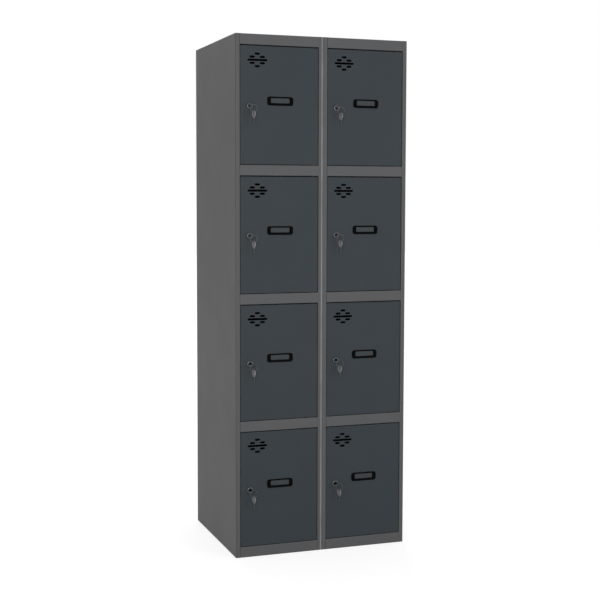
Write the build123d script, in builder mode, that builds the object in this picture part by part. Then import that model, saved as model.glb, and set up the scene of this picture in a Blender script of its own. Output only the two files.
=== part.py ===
"""A steel locker cabinet: two columns bolted side by side, each with four doors.

Millimetres, +Z up, X across the front from left to right, Y from front to back.
The origin is on the floor, under the middle of the whole outline with its keys.
Sheet pieces are drawn at their real thickness, with a rounded fold where it shows.
"""

import os
from math import cos, radians, sin, sqrt

from build123d import *

# Carcass
column_width = 300.0
cabinet_depth = 500.0
cabinet_height = 1710.0
tier_count = 4
sheet = 0.8
rail_height = 34.0
post_width = 15.0
post_corner = 4.0
fold_inside = 1.2
rear_flange = 15.0
shelf_flange = 15.0
shelf_rear_gap = 3.0
seam = 0.2

# Door leaf
door_gap = 1.6
door_foot_gap = 1.6
door_head_gap = 3.0
door_recess = 2.0
door_thickness = 20.0
door_lip = 12.0
stiffener_width = 40.0
stiffener_height = 14.0
stiffener_flange = 10.0
stiffener_inset = 65.0
stiffener_end_gap = 20.0

# Vents, measured from the upper left corner of the door opening
vent_inset = 59.2
vent_drop = 48.6
vent_pitch = 10.0
vent_height = 7.0
vent_long = 67.5
vent_short = 17.5
vent_spread = 17.2

# Label holder, measured from the middle of the door opening
label_shift = 1.9
label_rise = 14.0
label_width = 88.4
label_height = 28.3
label_thickness = 3.5
label_corner = 8.0
label_side = 12.2
label_top = 4.7
label_bottom = 7.9
label_edge = 0.8
window_corner = 2.5
peg_radius = 2.5
peg_length = 5.0
peg_inset = 6.0
peg_clearance = 0.1

# Hinges: a pin above and below each door
pivot_depth = 6.0
swing_clearance = 0.5
pin_radius = 3.0
pin_reach = 7.0
pin_head_radius = 5.0
pin_head = 1.5
pin_fit = 0.05
pin_running = 0.08
washer_radius = 6.0
washer_clearance = 0.15

# Door stop: a lip on the lock side's post, with rubber buffers
strike_width = 12.0
buffer_radius = 4.5
buffer_thickness = 2.5
buffer_clearance = 0.3
buffer_inset = 50.0

# Cam lock, measured from the left edge and the middle of the door opening
lock_inset = 33.5
lock_drop = 3.0
bezel_radius = 11.0
bezel_height = 4.0
bezel_round = 1.5
barrel_radius = 9.0
barrel_clearance = 0.1
nut_flats = 24.0
nut_height = 5.0
plug_radius = 6.0
plug_running = 0.06
plug_recess = 0.4
drive_size = 7.0
drive_clearance = 0.05
cam_width = 14.0
cam_thickness = 2.0
cam_gap = 1.4
cam_tip_gap = 2.0
cam_screw_radius = 5.0
cam_screw_height = 2.5

# Keys
key_thickness = 1.6
bow_radius = 11.0
bow_hole_radius = 4.0
bow_hole_shift = 3.5
neck_length = 3.0
neck_width = 11.0
neck_gap = 0.3
blade_length = 22.0
blade_width = 8.0
blade_notch = 1.8
blade_notches = 4
keyway_clearance = 0.15
ring_radius = 12.0
ring_wire = 0.9
ring_seat = 0.6
spare_turn = 14.0

# Fasteners of the carcass
rivet_rows = 6
rivet_inset = 60.0
rivet_radius = 1.6
rivet_head_radius = 3.2
rivet_head = 1.0
rivet_head_taper = 35.0
rivet_tail_radius = 2.4
rivet_tail = 1.6
rivet_fit = 0.05
bolt_radius = 3.0
bolt_fit = 0.2
bolt_head_radius = 5.5
bolt_head = 4.0
bolt_tip = 2.0
bolt_inset = 70.0
hex_flats = 10.0
hex_height = 5.0
hex_fit = 0.1
wall_hole_radius = 4.0
wall_hole_drop = 60.0
wall_hole_spacing = 160.0

# Sizes that follow from the ones above
fold = fold_inside + sheet
opening_width = column_width - 2 * post_width
opening_height = (cabinet_height - (tier_count + 1) * rail_height) / tier_count
tier_pitch = opening_height + rail_height
door_width = opening_width - 2 * door_gap
door_height = opening_height - door_foot_gap - door_head_gap
door_middle = door_foot_gap + door_height / 2
door_back = door_recess + door_thickness
strike_front = door_back + buffer_clearance + buffer_thickness
post_depth = strike_front + sheet
shelf_back = cabinet_depth - 2 * sheet - shelf_rear_gap

# The hinge-side edge of the door swings past the post inside the door's gap
swing_room = door_gap - swing_clearance
pivot_inset = (pivot_depth**2 - swing_room**2) / (2 * swing_room)
pivot_x = opening_width - door_gap - pivot_inset
pivot_y = door_recess + pivot_depth

# The lock runs from its bezel to the cam, which passes behind the strike lip
lock_z = opening_height / 2 - lock_drop
lock_face = door_recess - bezel_height
cam_front = post_depth + cam_gap
cam_length = lock_inset - cam_tip_gap
neck_front = lock_face - neck_gap
bow_y = neck_front - neck_length - sqrt(bow_radius**2 - (neck_width / 2) ** 2)
bow_hole_y = bow_y - bow_hole_shift

# The ring hangs on the bridge between the hole of the bow and its edge, centred below the bridge
bridge_end = sqrt(bow_radius**2 - bow_hole_shift**2)
bridge_half = (bridge_end - bow_hole_radius) / 2
ring_shift = bow_hole_radius + bridge_half
ring_inside = ring_radius - ring_wire - ring_seat
ring_drop = sqrt(ring_inside**2 - bridge_half**2) - key_thickness / 2
spare_hole_z = lock_z - ring_drop - ring_radius + ring_wire + ring_seat - bow_hole_radius

# Depth positions: the keys stand out in front, the rivet heads behind
spare_normal = (cos(radians(spare_turn)), sin(radians(spare_turn)), 0)
spare_reach = bow_radius * spare_normal[0] + key_thickness / 2 * spare_normal[1]
key_reach = spare_reach - bow_hole_y
front_y = (key_reach - cabinet_depth - rivet_head) / 2
back_y = front_y + cabinet_depth
column_x = {"left": -column_width, "right": 0.0}
tiers = range(1, tier_count + 1)
rail_tops = [rail_height + level * tier_pitch for level in range(tier_count + 1)]
bolt_z = [top - (shelf_flange + rail_height) / 2 for top in rail_tops[1:tier_count]]
rivet_step = (cabinet_height - 2 * rivet_inset) / (rivet_rows - 1)
rivet_z = [rivet_inset + row * rivet_step for row in range(rivet_rows)]
rivet_columns = (rear_flange / 2, column_width - rear_flange / 2)


def save(part, name):
    """Label a finished piece and write it under the same name."""
    part.label = name
    export_step(part, f"parts/{name}.step")


def facing_front(x, y, z):
    """A plane that faces the viewer: its x runs right, its y runs up."""
    return Plane(origin=(x, y, z), x_dir=(1, 0, 0), z_dir=(0, -1, 0))


def bolt_places():
    """Where the two columns are bolted to each other: under each shelf, near front and back."""
    depths = (front_y + bolt_inset, back_y - bolt_inset)
    return [(depth, height) for depth in depths for height in bolt_z]


def side_panel(outer_x, inward, strike, bolted):
    """One side of a column: rear flange, side, front post and, on the lock side, the strike lip."""
    plan = [
        (outer_x + inward * rear_flange, back_y - sheet),
        (outer_x, back_y - sheet),
        (outer_x, front_y),
        (outer_x + inward * post_width, front_y),
    ]
    radii = [fold, post_corner, fold]
    if strike:
        plan.append((outer_x + inward * post_width, front_y + strike_front))
        plan.append((outer_x + inward * (post_width + strike_width), front_y + strike_front))
        radii.append(fold_inside)
    else:
        plan.append((outer_x + inward * post_width, front_y + post_depth))
    with BuildPart() as panel:
        with BuildSketch():
            with BuildLine():
                FilletPolyline(*plan, radius=radii)
                offset(amount=sheet, side=Side.LEFT if inward > 0 else Side.RIGHT)
            make_face()
        extrude(amount=cabinet_height - sheet)
        if strike:
            lip_x = outer_x + inward * (post_width + strike_width / 2 + sheet / 2)
            lip_y = front_y + post_depth - fold
            with Locations(*[(lip_x, lip_y, top - rail_height / 2) for top in rail_tops]):
                Box(strike_width + sheet, 2 * fold, rail_height + 2 * seam, mode=Mode.SUBTRACT)
        with BuildSketch(facing_front(outer_x + inward * rear_flange / 2, back_y, 0)):
            with Locations(*[(0, height) for height in rivet_z]):
                Circle(rivet_radius + rivet_fit)
        extrude(amount=3 * sheet, mode=Mode.SUBTRACT)
        if bolted:
            with BuildSketch(Plane.YZ.offset(outer_x)):
                with Locations(*bolt_places()):
                    Circle(bolt_radius + bolt_fit)
            extrude(amount=inward * 2 * sheet, mode=Mode.SUBTRACT)
    return panel.part


def rail_section(start_x, top, reach):
    """Section of a rail: a folded channel open to the back, whose upper leg reaches back."""
    with BuildSketch(Plane.YZ.offset(start_x + post_width + seam)) as section:
        with BuildLine():
            FilletPolyline(
                (front_y + post_depth, top - rail_height),
                (front_y, top - rail_height),
                (front_y, top),
                (front_y + reach, top),
                radius=fold,
            )
            offset(amount=sheet, side=Side.RIGHT)
        make_face()
    return section.sketch


def down_flanges(start_x, top, height):
    """Flanges under a shelf: one along each side and one along the rear edge."""
    flange_front = front_y + post_depth + rail_height
    flange_length = front_y + shelf_back - flange_front
    for edge_x in (start_x + 1.5 * sheet, start_x + column_width - 1.5 * sheet):
        with Locations((edge_x, flange_front + flange_length / 2, top - height / 2)):
            Box(sheet, flange_length, height)
    with Locations((start_x + column_width / 2, front_y + shelf_back - sheet / 2, top - height / 2)):
        Box(column_width - 2 * sheet, sheet, height)


def hinge_hole(start_x, sheet_z):
    """Cut the hole of a hinge pin in one horizontal sheet whose middle is at sheet_z."""
    with Locations((start_x + post_width + pivot_x, front_y + pivot_y, sheet_z)):
        Cylinder(pin_radius + pin_fit, 2 * sheet, mode=Mode.SUBTRACT)


def shelf(start_x, top, flange, door_below):
    """A shelf with its front rail; it carries the pins of the door above and the door below."""
    with BuildPart() as piece:
        extrude(rail_section(start_x, top, post_depth + post_width), amount=opening_width - 2 * seam)
        plate_front = front_y + post_depth + seam
        plate_length = front_y + shelf_back - plate_front
        plate_centre = (start_x + column_width / 2, plate_front + plate_length / 2)
        with BuildSketch(Plane.XY.offset(top - sheet)):
            with Locations(plate_centre):
                Rectangle(column_width - 2 * sheet, plate_length)
        extrude(amount=sheet)
        down_flanges(start_x, top, flange)
        hinge_hole(start_x, top - sheet / 2)
        if door_below:
            hinge_hole(start_x, top - rail_height + sheet / 2)
    return piece.part


def roof(start_x):
    """The top plate covers the posts, sides and back, and folds down into the top rail."""
    top = cabinet_height
    middle_x = start_x + column_width / 2
    with BuildPart() as piece:
        extrude(rail_section(start_x, top, post_depth), amount=opening_width - 2 * seam)
        with BuildSketch(Plane.XY.offset(top - sheet)) as plate:
            with Locations((middle_x, front_y + cabinet_depth / 2)):
                Rectangle(column_width, cabinet_depth)
            fillet(plate.vertices().group_by(Axis.Y)[0], radius=post_corner)
            with Locations((middle_x, front_y)):
                Rectangle(opening_width - 2 * seam, 2 * fold, mode=Mode.SUBTRACT)
        extrude(amount=sheet)
        down_flanges(start_x, top, shelf_flange)
        hinge_hole(start_x, top - rail_height + sheet / 2)
    return piece.part


def back_panel(start_x):
    """A flat sheet over the rear flanges, with rivet holes and two holes for wall anchors."""
    middle_x = start_x + column_width / 2
    with BuildPart() as panel:
        with BuildSketch(facing_front(middle_x, back_y, (cabinet_height - sheet) / 2)):
            Rectangle(column_width, cabinet_height - sheet)
        extrude(amount=sheet)
        with BuildSketch(facing_front(middle_x, back_y, 0)):
            edges = [inset - column_width / 2 for inset in rivet_columns]
            with Locations(*[(edge, height) for edge in edges for height in rivet_z]):
                Circle(rivet_radius + rivet_fit)
            with Locations((0, cabinet_height - wall_hole_drop)):
                with GridLocations(wall_hole_spacing, 0, 2, 1):
                    Circle(wall_hole_radius)
        extrude(amount=sheet, mode=Mode.SUBTRACT)
    return panel.part


def door_panel():
    """A folded pan with vents and holes for lock, label holder and pins, and its stiffener behind."""
    front = facing_front(0, door_recess, 0)
    with BuildPart() as leaf:
        with Locations((opening_width / 2, door_recess + door_thickness / 2, door_middle)):
            Box(door_width, door_thickness, door_height)
        rounded = leaf.faces().sort_by(Axis.Y)[0].edges() + leaf.edges().filter_by(Axis.Y)
        fillet(rounded, radius=fold)
        offset(amount=-sheet, openings=leaf.faces().sort_by(Axis.Y)[-1])
        with BuildSketch(facing_front(opening_width / 2, door_back, door_middle)):
            RectangleRounded(door_width, door_height, fold)
            Rectangle(door_width - 2 * door_lip, door_height - 2 * door_lip, mode=Mode.SUBTRACT)
        extrude(amount=sheet)
        with BuildSketch(front):
            with Locations((vent_inset, opening_height - vent_drop)):
                SlotOverall(vent_long, vent_height)
                with GridLocations(2 * vent_spread, 2 * vent_pitch, 2, 2):
                    SlotOverall(vent_short, vent_height)
                with GridLocations(0, 4 * vent_pitch, 1, 2):
                    SlotOverall(vent_short, vent_height)
            with Locations((lock_inset, lock_z)):
                Circle(barrel_radius + barrel_clearance)
            with Locations(*peg_places()):
                Circle(peg_radius + peg_clearance)
        extrude(amount=-2 * sheet, mode=Mode.SUBTRACT)
        ends = (door_foot_gap, opening_height - door_head_gap)
        with Locations(*[(pivot_x, pivot_y, end) for end in ends]):
            Cylinder(pin_radius + pin_running, 4 * sheet, mode=Mode.SUBTRACT)
    with BuildPart() as stiffener:
        base_y = door_recess + sheet
        middle_x = opening_width - stiffener_inset
        crown_y = base_y + stiffener_height
        foot = stiffener_width / 2
        web = foot - stiffener_flange
        with BuildSketch(Plane.XY.offset(door_foot_gap + stiffener_end_gap)):
            with BuildLine():
                FilletPolyline(
                    (middle_x - foot, base_y),
                    (middle_x - web, base_y),
                    (middle_x - web, crown_y),
                    (middle_x + web, crown_y),
                    (middle_x + web, base_y),
                    (middle_x + foot, base_y),
                    radius=[fold_inside + sheet, fold_inside, fold_inside, fold_inside + sheet],
                )
                offset(amount=sheet, side=Side.LEFT)
            make_face()
        extrude(amount=door_height - 2 * stiffener_end_gap)
    return Compound(children=[leaf.part, stiffener.part])


def peg_places():
    """The two pegs of the label holder, as places on the door front."""
    reach = label_width / 2 - peg_inset
    label_x = opening_width / 2 + label_shift
    label_z = opening_height / 2 + label_rise
    return [(label_x - reach, label_z), (label_x + reach, label_z)]


def label_holder():
    """A plastic frame round an open window, held by two pegs through the door."""
    label_x = opening_width / 2 + label_shift
    label_z = opening_height / 2 + label_rise
    window_width = label_width - 2 * label_side
    window_height = label_height - label_top - label_bottom
    with BuildPart() as holder:
        with BuildSketch(facing_front(label_x, door_recess, label_z)):
            RectangleRounded(label_width, label_height, label_corner)
            with Locations((0, (label_bottom - label_top) / 2)):
                RectangleRounded(window_width, window_height, window_corner, mode=Mode.SUBTRACT)
        extrude(amount=label_thickness)
        chamfer(holder.faces().sort_by(Axis.Y)[0].edges(), length=label_edge)
        with BuildSketch(facing_front(0, door_recess, 0)):
            with Locations(*peg_places()):
                Circle(peg_radius)
        extrude(amount=-peg_length)
    return holder.part


def lock_barrel():
    """The fixed housing of the lock, with its rounded bezel, and the nut that clamps it to the door."""
    with BuildPart() as housing:
        with BuildSketch(facing_front(lock_inset, door_recess, lock_z)):
            Circle(bezel_radius)
        extrude(amount=bezel_height)
        fillet(housing.faces().sort_by(Axis.Y)[0].edges(), radius=bezel_round)
        with BuildSketch(facing_front(lock_inset, door_recess, lock_z)):
            Circle(barrel_radius)
        extrude(amount=door_recess - cam_front + drive_clearance)
        with BuildSketch(facing_front(lock_inset, cam_front, lock_z)):
            Circle(plug_radius + plug_running)
        extrude(amount=cam_front - lock_face, mode=Mode.SUBTRACT)
    with BuildPart() as nut:
        with BuildSketch(facing_front(lock_inset, door_recess + sheet, lock_z)):
            RegularPolygon(nut_flats / 2, 6, major_radius=False)
            Circle(barrel_radius + barrel_clearance, mode=Mode.SUBTRACT)
        extrude(amount=-nut_height)
    return Compound(children=[housing.part, nut.part])


def key_outline(plane):
    """A flat key on a plane: the bow is at its origin, the blade runs along its x."""
    neck_start = sqrt(bow_radius**2 - (neck_width / 2) ** 2)
    blade_start = neck_start + neck_length
    blade_end = blade_start + blade_length
    with BuildPart() as key:
        with BuildSketch(plane):
            Circle(bow_radius)
            with Locations((blade_start / 2, 0)):
                Rectangle(blade_start, neck_width)
            with BuildLine():
                Polyline(
                    (neck_start, -blade_width / 2),
                    (blade_end - blade_width / 2, -blade_width / 2),
                    (blade_end, 0),
                    (blade_end - blade_width / 2, blade_width / 2),
                    (neck_start, blade_width / 2),
                    close=True,
                )
            make_face()
            with Locations((-bow_hole_shift, 0)):
                Circle(bow_hole_radius, mode=Mode.SUBTRACT)
            notch_pitch = (blade_length - blade_width) / blade_notches
            with Locations((blade_start + (blade_length - blade_width / 2) / 2, blade_width / 2)):
                with GridLocations(notch_pitch, 0, blade_notches, 1):
                    Rectangle(blade_notch, 2 * blade_notch, rotation=45, mode=Mode.SUBTRACT)
        extrude(amount=key_thickness / 2, both=True)
    return key.part


def lock_core():
    """What turns with the key: plug, cam, cam screw and the key itself, lying flat when unlocked."""
    with BuildPart() as plug:
        with BuildSketch(facing_front(lock_inset, cam_front, lock_z)):
            Circle(plug_radius)
        extrude(amount=cam_front - lock_face - plug_recess)
        with BuildSketch(facing_front(lock_inset, cam_front, lock_z)):
            Rectangle(drive_size, drive_size)
        extrude(amount=-cam_thickness)
        with BuildSketch(facing_front(lock_inset, lock_face, lock_z)):
            Rectangle(blade_width + 2 * keyway_clearance, key_thickness + 2 * keyway_clearance)
        extrude(amount=-blade_length - keyway_clearance, mode=Mode.SUBTRACT)
    with BuildPart() as cam:
        with BuildSketch(facing_front(lock_inset, cam_front, lock_z)):
            Circle(cam_width / 2)
            with Locations((0, (cam_width / 2 - cam_length) / 2)):
                Rectangle(cam_width, cam_length - cam_width / 2)
            with Locations((0, cam_width / 2 - cam_length)):
                Circle(cam_width / 2)
            Rectangle(drive_size + 2 * drive_clearance, drive_size + 2 * drive_clearance, mode=Mode.SUBTRACT)
        extrude(amount=-cam_thickness)
    with BuildPart() as screw:
        with BuildSketch(facing_front(lock_inset, cam_front + cam_thickness, lock_z)):
            Circle(cam_screw_radius)
        extrude(amount=-cam_screw_height)
    key = key_outline(Plane(origin=(lock_inset, bow_y, lock_z), x_dir=(0, 1, 0), z_dir=(0, 0, 1)))
    return Compound(children=[plug.part, cam.part, screw.part, key])


def spare_key():
    """A ring through the bow of the key in the lock, and the second key on it, turned to the front."""
    ring_x = lock_inset + ring_shift
    with BuildPart() as ring:
        with BuildSketch(Plane(origin=(ring_x, bow_hole_y, lock_z - ring_drop), z_dir=(0, 0, 1))):
            with Locations((ring_radius, 0)):
                Circle(ring_wire)
        revolve(axis=Axis((ring_x, bow_hole_y, lock_z - ring_drop), (0, 1, 0)))
    bow_z = spare_hole_z - bow_hole_shift
    key = key_outline(Plane(origin=(ring_x, bow_hole_y, bow_z), x_dir=(0, 0, -1), z_dir=spare_normal))
    return Compound(children=[ring.part, key])


def hinge_pins():
    """A headed pin through the rail above and the rail below each door."""
    with BuildPart() as pins:
        for start_x in column_x.values():
            for floor in rail_tops[:tier_count]:
                pin_x = start_x + post_width + pivot_x
                lower = Plane(origin=(pin_x, front_y + pivot_y, floor - sheet))
                upper = Plane(
                    origin=(pin_x, front_y + pivot_y, floor + opening_height + sheet),
                    z_dir=(0, 0, -1),
                )
                for plane, gap in ((lower, door_foot_gap), (upper, door_head_gap)):
                    with BuildSketch(plane):
                        Circle(pin_head_radius)
                    extrude(amount=-pin_head)
                    with BuildSketch(plane):
                        Circle(pin_radius)
                    extrude(amount=sheet + gap + pin_reach)
    return pins.part


def hinge_washers():
    """A plain washer round each lower pin, which carries the weight of the door."""
    with BuildPart() as washers:
        for start_x in column_x.values():
            for floor in rail_tops[:tier_count]:
                with BuildSketch(Plane.XY.offset(floor)):
                    with Locations((start_x + post_width + pivot_x, front_y + pivot_y)):
                        Circle(washer_radius)
                        Circle(pin_radius + pin_fit, mode=Mode.SUBTRACT)
        extrude(amount=door_foot_gap - washer_clearance)
    return washers.part


def door_buffers():
    """Two rubber discs on each strike lip, which the lock-side edge of the door closes against."""
    with BuildPart() as buffers:
        for start_x in column_x.values():
            buffer_x = start_x + post_width + strike_width - buffer_radius
            for floor in rail_tops[:tier_count]:
                for height in (floor + buffer_inset, floor + opening_height - buffer_inset):
                    with BuildSketch(facing_front(buffer_x, front_y + strike_front, height)):
                        Circle(buffer_radius)
                    extrude(amount=buffer_thickness)
    return buffers.part


def column_bolts():
    """Headed bolts through both inner sides, heads in the left column."""
    with BuildPart() as bolts:
        with BuildSketch(Plane.YZ.offset(-sheet)):
            with Locations(*bolt_places()):
                Circle(bolt_head_radius)
        extrude(amount=-bolt_head)
        with BuildSketch(Plane.YZ.offset(-sheet)):
            with Locations(*bolt_places()):
                Circle(bolt_radius)
        extrude(amount=2 * sheet + hex_height + bolt_tip)
    return bolts.part


def column_nuts():
    """Hexagon nuts on the bolts, in the right column."""
    with BuildPart() as nuts:
        with BuildSketch(Plane.YZ.offset(sheet)):
            with Locations(*bolt_places()):
                RegularPolygon(hex_flats / 2, 6, major_radius=False)
                Circle(bolt_radius + hex_fit, mode=Mode.SUBTRACT)
        extrude(amount=hex_height)
    return nuts.part


def back_rivets():
    """Blind rivets that hold the back panels to the rear flanges of the sides."""
    edges = [start_x + inset for start_x in column_x.values() for inset in rivet_columns]
    places = [(edge, height) for edge in edges for height in rivet_z]
    with BuildPart() as rivets:
        with BuildSketch(facing_front(0, back_y, 0)):
            with Locations(*places):
                Circle(rivet_head_radius)
        extrude(amount=-rivet_head, taper=rivet_head_taper)
        with BuildSketch(facing_front(0, back_y, 0)):
            with Locations(*places):
                Circle(rivet_radius)
        extrude(amount=2 * sheet)
        with BuildSketch(facing_front(0, back_y - 2 * sheet, 0)):
            with Locations(*places):
                Circle(rivet_tail_radius)
        extrude(amount=rivet_tail)
    return rivets.part


os.makedirs("parts", exist_ok=True)

for side, start_x in column_x.items():
    right_edge = start_x + column_width
    save(side_panel(start_x, 1, True, side == "right"), f"{side}_column_left_side")
    save(side_panel(right_edge, -1, False, side == "left"), f"{side}_column_right_side")
    save(back_panel(start_x), f"{side}_column_back")
    save(roof(start_x), f"{side}_column_roof")
    save(shelf(start_x, rail_tops[0], rail_height, False), f"{side}_column_base")
    shelves = [shelf(start_x, top, shelf_flange, True) for top in rail_tops[1:tier_count]]
    save(Compound(children=shelves), f"{side}_column_shelves")

save(hinge_pins(), "hinge_pins")
save(hinge_washers(), "hinge_washers")
save(door_buffers(), "door_buffers")
save(column_bolts(), "column_bolts")
save(column_nuts(), "column_nuts")
save(back_rivets(), "back_rivets")

door_pieces = {
    "panel": door_panel(),
    "label_holder": label_holder(),
    "lock_barrel": lock_barrel(),
    "lock_core": lock_core(),
    "spare_key": spare_key(),
}
for side, start_x in column_x.items():
    for tier in tiers:
        corner = (start_x + post_width, front_y, rail_tops[tier_count - tier])
        for piece_name, piece in door_pieces.items():
            save(piece.moved(Location(corner)), f"{side}_door_{tier}_{piece_name}")
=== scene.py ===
# %% [markdown]
# # Dressing a steel locker cabinet
# The cabinet's solids arrive as a fixed frame: every sheet, door, lock and key is a node in metres,
# already where it belongs. This lesson gives the sheets their paint and swaps the small fittings,
# such as label frames, locks and keys, for finer surfaces in the same places.

# %% Load the frame
from math import pi, radians

import bmesh
import bpy
import numpy as np
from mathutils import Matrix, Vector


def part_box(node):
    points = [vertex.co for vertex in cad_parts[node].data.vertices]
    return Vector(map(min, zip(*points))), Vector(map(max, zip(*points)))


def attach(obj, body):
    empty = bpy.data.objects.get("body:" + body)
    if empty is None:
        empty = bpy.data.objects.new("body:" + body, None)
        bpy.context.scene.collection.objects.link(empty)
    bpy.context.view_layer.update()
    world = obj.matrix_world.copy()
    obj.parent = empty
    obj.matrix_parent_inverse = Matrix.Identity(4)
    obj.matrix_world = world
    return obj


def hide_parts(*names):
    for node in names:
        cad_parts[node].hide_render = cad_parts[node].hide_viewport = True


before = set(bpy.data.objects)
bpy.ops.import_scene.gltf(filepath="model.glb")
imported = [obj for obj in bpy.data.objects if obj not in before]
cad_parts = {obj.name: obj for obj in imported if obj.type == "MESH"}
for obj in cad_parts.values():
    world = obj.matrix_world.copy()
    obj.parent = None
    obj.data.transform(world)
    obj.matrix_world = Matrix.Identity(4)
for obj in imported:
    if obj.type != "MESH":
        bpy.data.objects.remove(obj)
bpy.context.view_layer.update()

scene = bpy.context.scene
mm = 0.001
doors = [(side, tier) for side in ("left", "right") for tier in (1, 2, 3, 4)]

# %% [markdown]
# ## The camera
# The cabinet is seen from its front left, from about head height, and a little from above.
# A camera can be placed by eye, but the corners and rails of a box fix it better: the numbers
# below are the place, the turn and the focal length that bring them to their pixels. The lens is
# moved a little in its mount, as on a view camera, so that upright edges stay nearly upright.

# %% Camera
camera_data = bpy.data.cameras.new("front_left_camera")
camera_data.sensor_width = 36.0
camera_data.lens = 72.42
camera_data.shift_y = -0.02
camera_data.clip_end = 100.0
camera = bpy.data.objects.new("front_left_camera", camera_data)
camera.location = (-1.3997, -3.9836, 1.1886)
camera.rotation_euler = (radians(85.679), radians(-0.128), radians(-19.401))
scene.collection.objects.link(camera)
scene.camera = camera
scene.view_settings.view_transform = "Standard"
print("camera: lens", camera_data.lens, "mm at", [round(v, 3) for v in camera.location])

# %% [markdown]
# ## A small helper for nodes
# Shader nodes can be made one line at a time, but a material soon takes forty lines that way.
# This helper makes one node, sets its options, and fills each input with either a number or a link.

# %% Node helper
def put(tree, kind, inputs=None, **options):
    """Add one shader node: options are set on the node, inputs are values or sockets to link."""
    made = tree.nodes.new("ShaderNode" + kind)
    for name, value in options.items():
        setattr(made, name, value)
    for name, value in (inputs or {}).items():
        if isinstance(value, bpy.types.NodeSocket):
            tree.links.new(value, made.inputs[name])
        else:
            made.inputs[name].default_value = value
    return made


def calc(tree, operation, *values):
    """One Math node on up to three values or sockets; gives its output socket."""
    return put(tree, "Math", dict(enumerate(values)), operation=operation).outputs[0]


def remap(tree, value, low, high, start=0.0, end=1.0):
    """A smooth ramp from start to end while value runs from low to high."""
    sockets = {0: value, 1: low, 2: high, 3: start, 4: end}
    return put(tree, "MapRange", sockets, interpolation_type="SMOOTHSTEP").outputs[0]


print("node helper ready")

# %% [markdown]
# ## Studio light
# The cabinet stands in even, soft light on white: its side and its front look equally bright. The
# side already mirrors some of the white behind it, because it is seen at a flat angle, so the lamps
# stand in front, and a broad sky of plain white fills the rest.
# The white behind the cabinet is only what the camera and the shiny metals see of that sky.
# It adds no light to the paint, so the paint shows about the colour that is written for it.

# %% Sky
def seen_directly(tree):
    """1 for rays from the camera, from shiny surfaces and through glass, 0 for the rest."""
    path = put(tree, "LightPath").outputs
    shiny = calc(tree, "MAXIMUM", path["Is Glossy Ray"], path["Is Transmission Ray"])
    return calc(tree, "MAXIMUM", path["Is Camera Ray"], shiny)


white = (1.0, 1.0, 1.0, 1.0)
sky_strength = 0.45
backdrop_strength = 1.0
sky = bpy.data.worlds.new("studio_sky")
sky.use_nodes = True
sky_tree = sky.node_tree
sky_tree.nodes.clear()
sky_light = put(sky_tree, "Background", {"Color": white, "Strength": sky_strength})
sky_white = put(sky_tree, "Background", {"Color": white, "Strength": backdrop_strength})
sky_mix = put(sky_tree, "MixShader", {0: seen_directly(sky_tree)})
sky_tree.links.new(sky_light.outputs[0], sky_mix.inputs[1])
sky_tree.links.new(sky_white.outputs[0], sky_mix.inputs[2])
put(sky_tree, "OutputWorld", {"Surface": sky_mix.outputs[0]})
scene.world = sky
print("sky:", len(sky_tree.nodes), "nodes")

# %% Lamps
def softbox(name, place, target, size, watts):
    """A square area lamp at a place, turned to face a target."""
    data = bpy.data.lights.new(name, "AREA")
    data.size = size
    data.energy = watts
    lamp = bpy.data.objects.new(name, data)
    lamp.location = place
    aim = Vector(target) - lamp.location
    lamp.rotation_euler = aim.to_track_quat("-Z", "Y").to_euler()
    scene.collection.objects.link(lamp)


front_aim = (0.0, 0.0, 1.1)
rear_aim = (0.0, 0.0, 1.0)
softbox("main_softbox", place=(-1.2, -3.3, 1.5), target=front_aim, size=2.0, watts=55.0)
softbox("right_softbox", place=(2.3, -3.1, 1.4), target=front_aim, size=1.8, watts=25.0)
softbox("rear_softbox", place=(0.5, 3.8, 3.2), target=rear_aim, size=2.4, watts=70.0)

# %% [markdown]
# ## The floor
# A plain pale floor carries the cabinet and its soft shadow. Its grey reflects only a little light
# on to the lowest doors, and a glow that only direct views see lifts that grey to white. The glow
# grows with the distance from the cabinet, where the lamps reach less, so no horizon shows, and it
# stops under the cabinet, so no white shows through the joints of the bottom rail.

# %% Floor
floor_half = 20.0
floor_tone = (0.42, 0.42, 0.42, 1.0)
glow_near, glow_far = 1.0, 7.0
glow_least, glow_most = 0.74, 0.92
floor_mesh = bpy.data.meshes.new("studio_floor")
floor_corners = np.array([(-1, -1, 0), (1, -1, 0), (1, 1, 0), (-1, 1, 0)]) * floor_half
floor_mesh.from_pydata(floor_corners.tolist(), [], [(0, 1, 2, 3)])
floor = bpy.data.objects.new("studio_floor", floor_mesh)
scene.collection.objects.link(floor)

carcass_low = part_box("left_column_left_side")[0]
carcass_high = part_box("right_column_right_side")[1]


def outside_carcass(tree, where):
    """0 on the floor under the cabinet, 1 round it: the larger of two scaled distances passes 1."""
    spot = put(tree, "SeparateXYZ", {0: where}).outputs
    centre, half = (carcass_low + carcass_high) / 2, (carcass_high - carcass_low) / 2
    across = calc(tree, "ABSOLUTE", calc(tree, "SUBTRACT", spot["X"], centre.x))
    along = calc(tree, "ABSOLUTE", calc(tree, "SUBTRACT", spot["Y"], centre.y))
    across, along = calc(tree, "DIVIDE", across, half.x), calc(tree, "DIVIDE", along, half.y)
    return calc(tree, "GREATER_THAN", calc(tree, "MAXIMUM", across, along), 1.0)


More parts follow.
